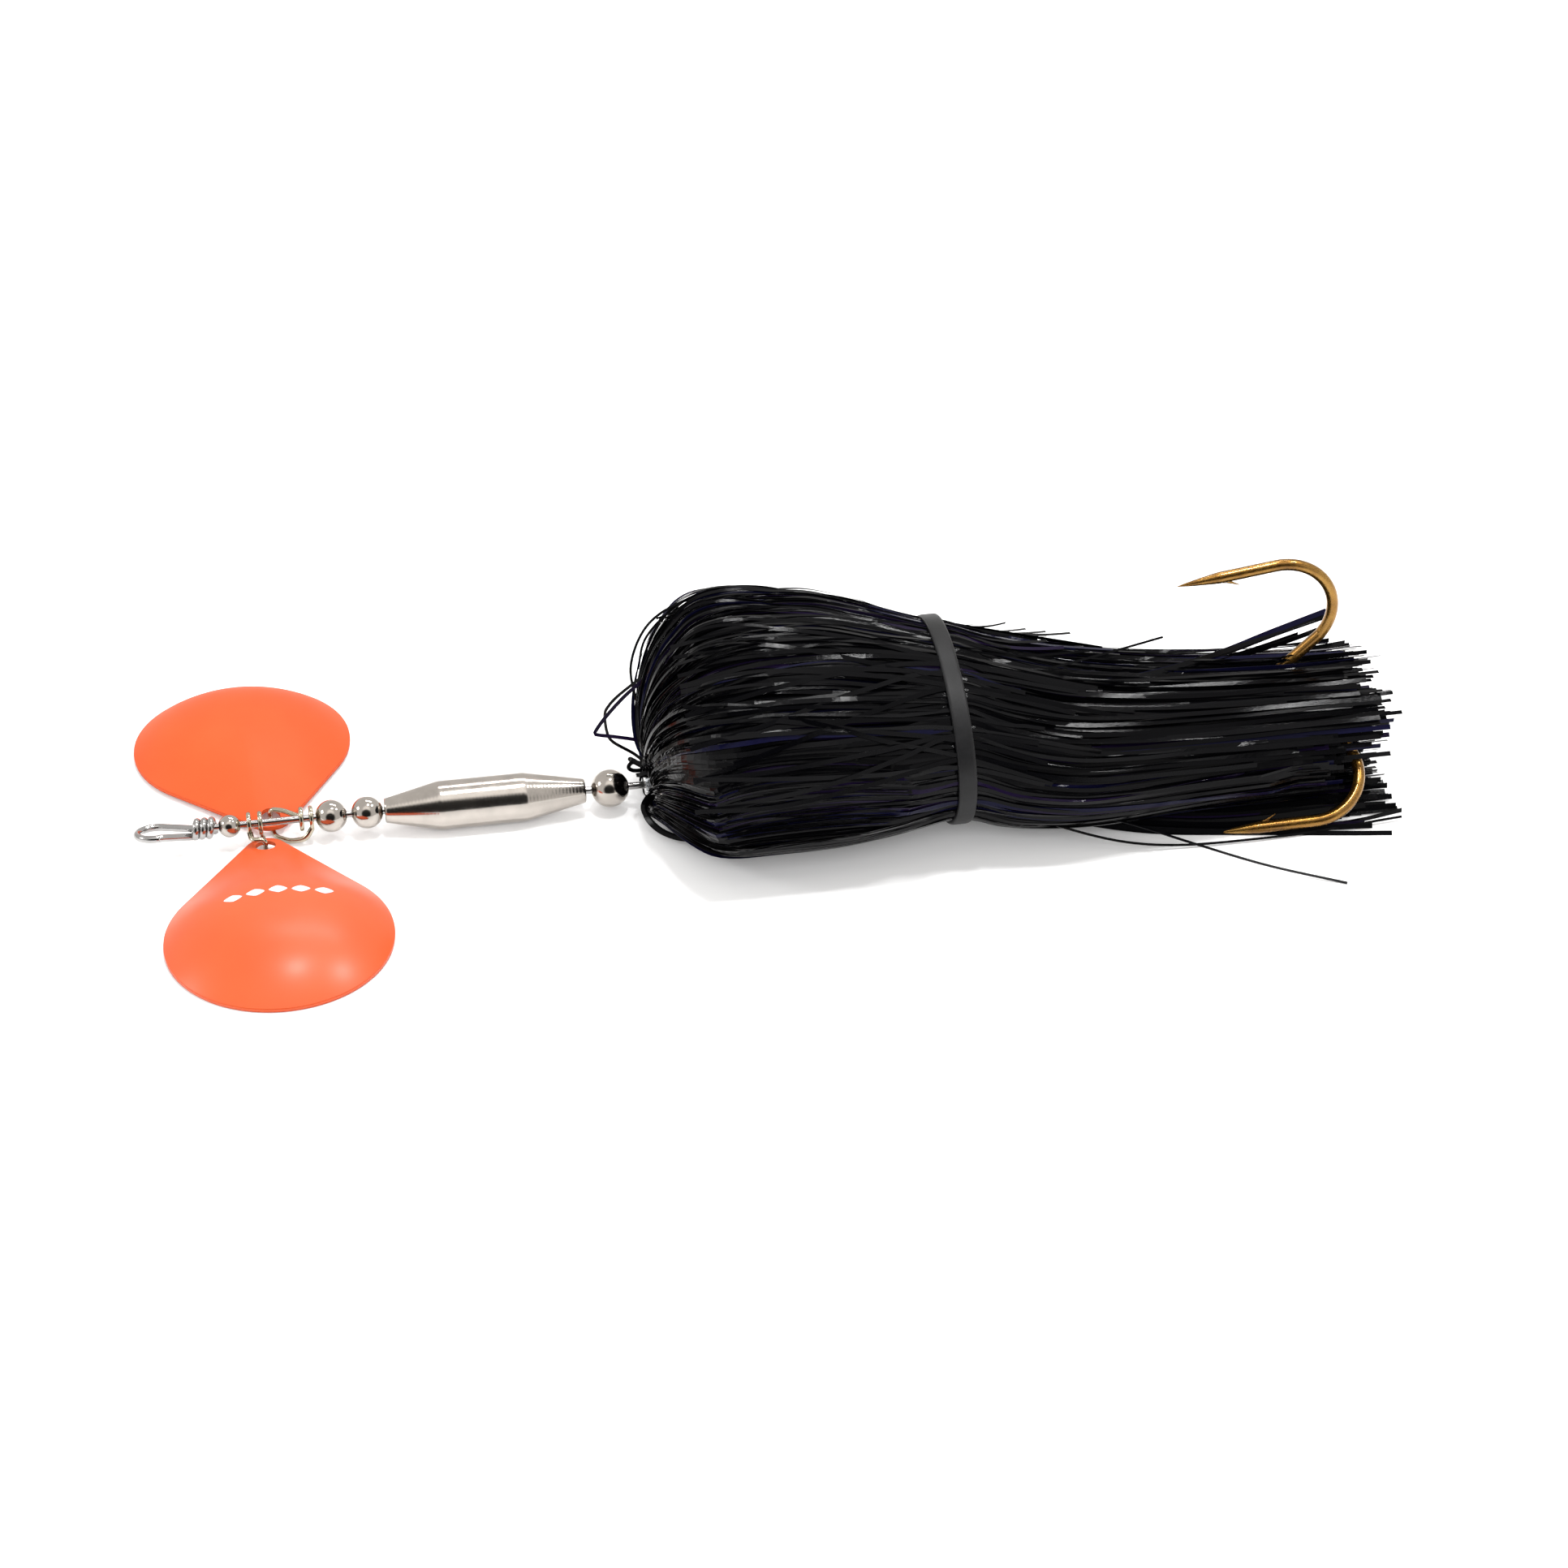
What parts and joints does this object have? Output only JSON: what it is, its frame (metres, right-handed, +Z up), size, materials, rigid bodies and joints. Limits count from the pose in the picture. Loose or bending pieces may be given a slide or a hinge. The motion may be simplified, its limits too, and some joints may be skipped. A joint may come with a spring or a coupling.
{
  "type": "inline spinner",
  "caption": "Inline spinner lure: painted blades turn on clevises round a wire shaft, ahead of a turned body, a tinsel skirt and a treble hook.",
  "frame": {"origin": "centre of the line-tie eye, on the shaft's axis", "axes": "+X along the shaft from the line-tie eye to the treble hook; +Z up from the surface the lure lies on; +Y to the side of the rear blade"},
  "size_m": [0.2598, 0.119, 0.0506],
  "materials": {
    "wire": "drawn stainless wire",
    "nickel": "bright nickel plate",
    "blade_gloss": "gloss fluorescent orange paint",
    "blade_satin": "satin fluorescent orange paint",
    "clear_tube": "clear flexible tube",
    "thread": "varnished tying thread",
    "tinsel": "metallised film strands",
    "band_rubber": "matt rubber",
    "hook_bronze": "lacquered bronze hook wire"
  },
  "bodies": {
    "shaft": {"shaft_wire": "wire", "skirt_tube": "clear_tube", "thread_collar": "thread", "skirt_head": "tinsel", "skirt_bulb": "tinsel", "retaining_band": "band_rubber", "skirt_tail": "tinsel"},
    "front_bead": {"front_bead": "nickel"},
    "front_clevis": {"front_clevis": "nickel"},
    "front_blade": {"front_blade": "blade_gloss"},
    "rear_clevis": {"rear_clevis": "nickel"},
    "rear_blade": {"rear_blade": "blade_satin"},
    "middle_bead_front": {"middle_bead_front": "nickel"},
    "middle_bead_rear": {"middle_bead_rear": "nickel"},
    "body_weight": {"body_weight": "nickel"},
    "rear_bead": {"rear_bead": "nickel"},
    "bearing_bead": {"bearing_bead": "nickel"},
    "split_ring": {"split_ring": "nickel"},
    "treble": {"double_hook": "hook_bronze", "third_hook": "hook_bronze"}
  },
  "joints": [
    {"name": "front_bead_spin", "type": "hinge", "parent": "shaft", "child": "front_bead", "pos_m": [0.0153, 0, 0], "axis": [1, 0, 0], "continuous": true},
    {"name": "front_clevis_spin", "type": "hinge", "parent": "shaft", "child": "front_clevis", "pos_m": [0.0205, 0, 0], "axis": [1, 0, 0], "continuous": true},
    {"name": "front_blade_swing", "type": "hinge", "parent": "front_clevis", "child": "front_blade", "pos_m": [0.0223, -0.0051, -0.0025], "axis": [0, 0, 1], "range_deg": [-12, 25]},
    {"name": "rear_clevis_spin", "type": "hinge", "parent": "shaft", "child": "rear_clevis", "pos_m": [0.0312, 0, 0], "axis": [1, 0, 0], "continuous": true},
    {"name": "rear_blade_swing", "type": "hinge", "parent": "rear_clevis", "child": "rear_blade", "pos_m": [0.024, 0.0058, -0.0025], "axis": [0, 0, -1], "range_deg": [-10, 15]},
    {"name": "middle_bead_front_spin", "type": "hinge", "parent": "shaft", "child": "middle_bead_front", "pos_m": [0.0365, 0, 0], "axis": [1, 0, 0], "continuous": true},
    {"name": "middle_bead_rear_spin", "type": "hinge", "parent": "shaft", "child": "middle_bead_rear", "pos_m": [0.044, 0, 0], "axis": [1, 0, 0], "continuous": true},
    {"name": "body_spin", "type": "hinge", "parent": "shaft", "child": "body_weight", "pos_m": [0.068, 0, 0], "axis": [1, 0, 0], "continuous": true},
    {"name": "rear_bead_spin", "type": "hinge", "parent": "shaft", "child": "rear_bead", "pos_m": [0.0953, 0, 0], "axis": [1, 0, 0], "continuous": true},
    {"name": "bearing_bead_spin", "type": "hinge", "parent": "shaft", "child": "bearing_bead", "pos_m": [0.1624, 0, 0], "axis": [1, 0, 0], "continuous": true},
    {"name": "split_ring_swing", "type": "hinge", "parent": "shaft", "child": "split_ring", "pos_m": [0.1792, 0, 0], "axis": [-0.3321, -0.9432, 0], "range_deg": [-5, 5]},
    {"name": "treble_swing", "type": "hinge", "parent": "split_ring", "child": "treble", "pos_m": [0.1883, -0.0032, 0.0058], "axis": [0, 0, 1], "range_deg": [-8, 6]}
  ],
  "couplings": [
    {"joint": "rear_clevis_spin", "follows": "front_clevis_spin", "ratio": 1}
  ]
}
